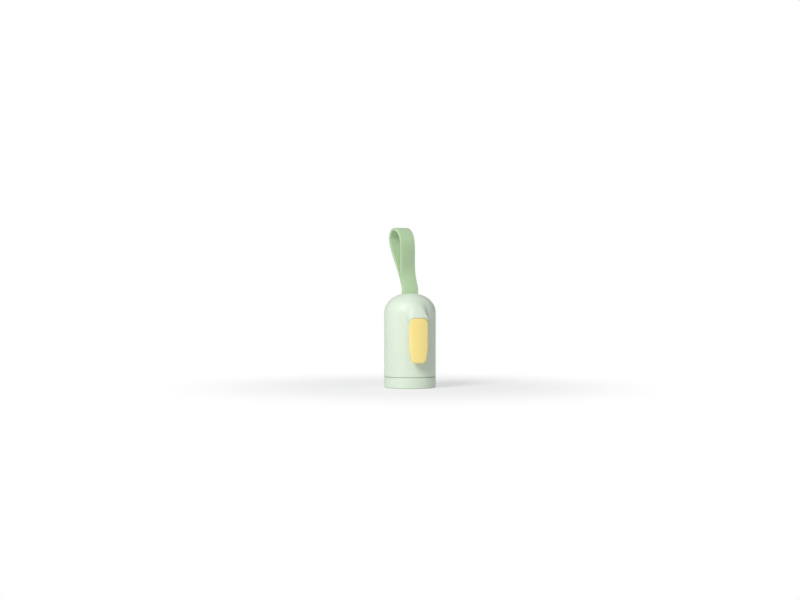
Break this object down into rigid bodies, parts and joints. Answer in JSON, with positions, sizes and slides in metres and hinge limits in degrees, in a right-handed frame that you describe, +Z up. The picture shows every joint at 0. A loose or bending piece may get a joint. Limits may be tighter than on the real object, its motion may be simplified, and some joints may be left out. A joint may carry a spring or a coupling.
{
  "type": "dog poop bag dispenser",
  "caption": "Capsule case for a roll of dog waste bags, with a strap loop on its dome, a springy clip on its front, a bag slot at its back and a push-in base cap.",
  "frame": {"origin": "centre of the flat underside of the base cap", "axes": "+Z up along the axis of the capsule, -Y towards the front with the clip, +X to the right seen from the front"},
  "size_m": [0.042, 0.0495, 0.13],
  "materials": {
    "mint_plastic": "satin",
    "clip_plastic": "satin",
    "strap_rubber": "matte silicone",
    "seal_rubber": "matte",
    "pin_steel": "brushed",
    "cardboard": "matte cardboard",
    "bag_film": "soft gloss film"
  },
  "bodies": {
    "base": {"base_cap": "mint_plastic", "cap_seal": "seal_rubber"},
    "case": {"shell": "mint_plastic", "slot_liner": "strap_rubber", "hook_root": "clip_plastic", "strap_anchor": "strap_rubber", "strap_pin": "pin_steel"},
    "clip": {"hook_tongue": "clip_plastic"},
    "strap": {"strap_loop": "strap_rubber"},
    "roll": {"roll_core": "cardboard", "bag_roll": "bag_film"}
  },
  "joints": [
    {"name": "case_lift", "type": "slide", "parent": "base", "child": "case", "axis": [0, 0, 1], "range_m": [0, 0.075]},
    {"name": "roll_spin", "type": "hinge", "parent": "base", "child": "roll", "pos_m": [0, 0, 0.032], "axis": [0, 0, 1], "continuous": true},
    {"name": "clip_flex", "type": "hinge", "parent": "case", "child": "clip", "pos_m": [0, -0.02665, 0.04855], "axis": [-1, 0, 0], "range_deg": [0, 10], "stiffness_Nm_per_rad": 0.08},
    {"name": "strap_flex", "type": "hinge", "parent": "case", "child": "strap", "pos_m": [0, 0, 0.081], "axis": [1, 0, 0], "range_deg": [-60, 60], "stiffness_Nm_per_rad": 0.012}
  ]
}
